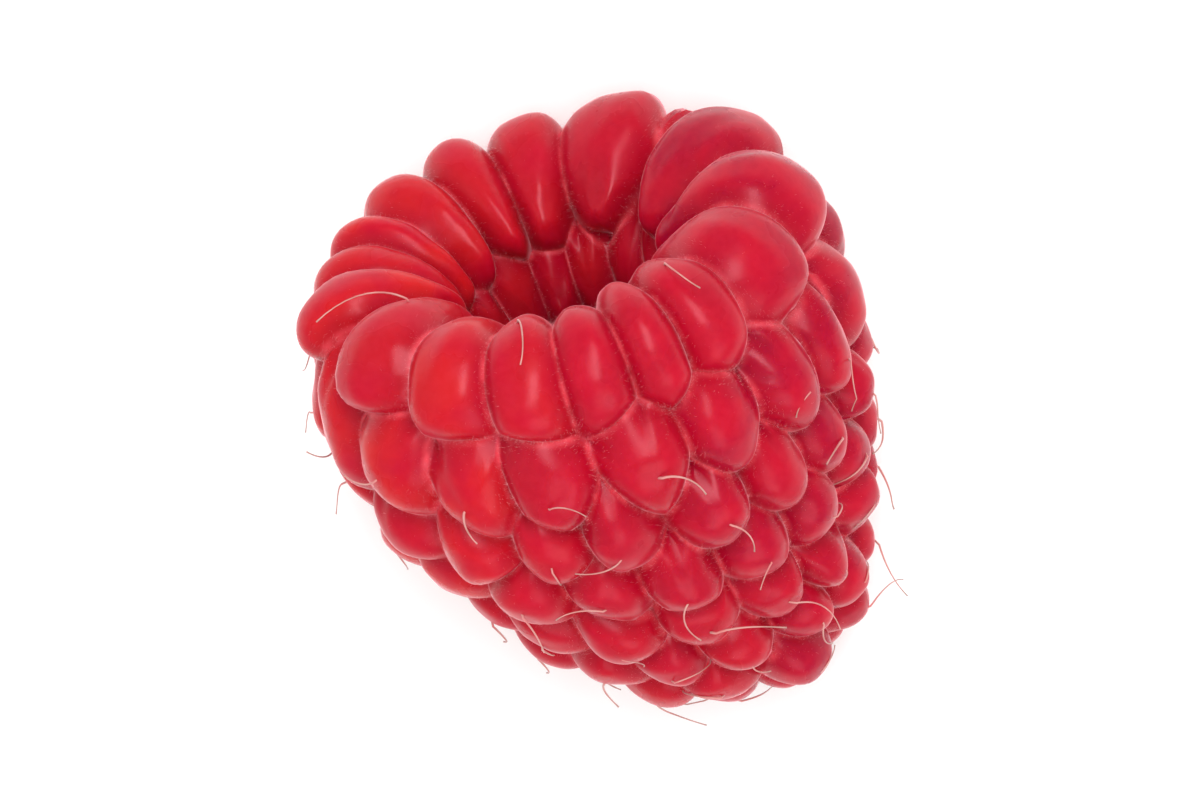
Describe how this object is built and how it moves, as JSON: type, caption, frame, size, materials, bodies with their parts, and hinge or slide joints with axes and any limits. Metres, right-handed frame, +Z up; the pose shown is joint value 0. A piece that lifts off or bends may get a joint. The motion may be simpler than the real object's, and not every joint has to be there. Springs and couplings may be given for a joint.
{
  "type": "raspberry",
  "caption": "Picked raspberry lying on its side, a hollow thimble of rounded drupelets with its open mouth facing sideways.",
  "frame": {"origin": "middle of the berry's box seen from above, on the surface it lies on", "axes": "+Z up, +Y from the tip towards the open mouth, +X to the side that the tip leans to"},
  "size_m": [0.022, 0.0246, 0.0217],
  "materials": {
    "drupelet_skin": "satin, slightly translucent"
  },
  "bodies": {
    "root": {"raspberry": "drupelet_skin"}
  },
  "joints": []
}
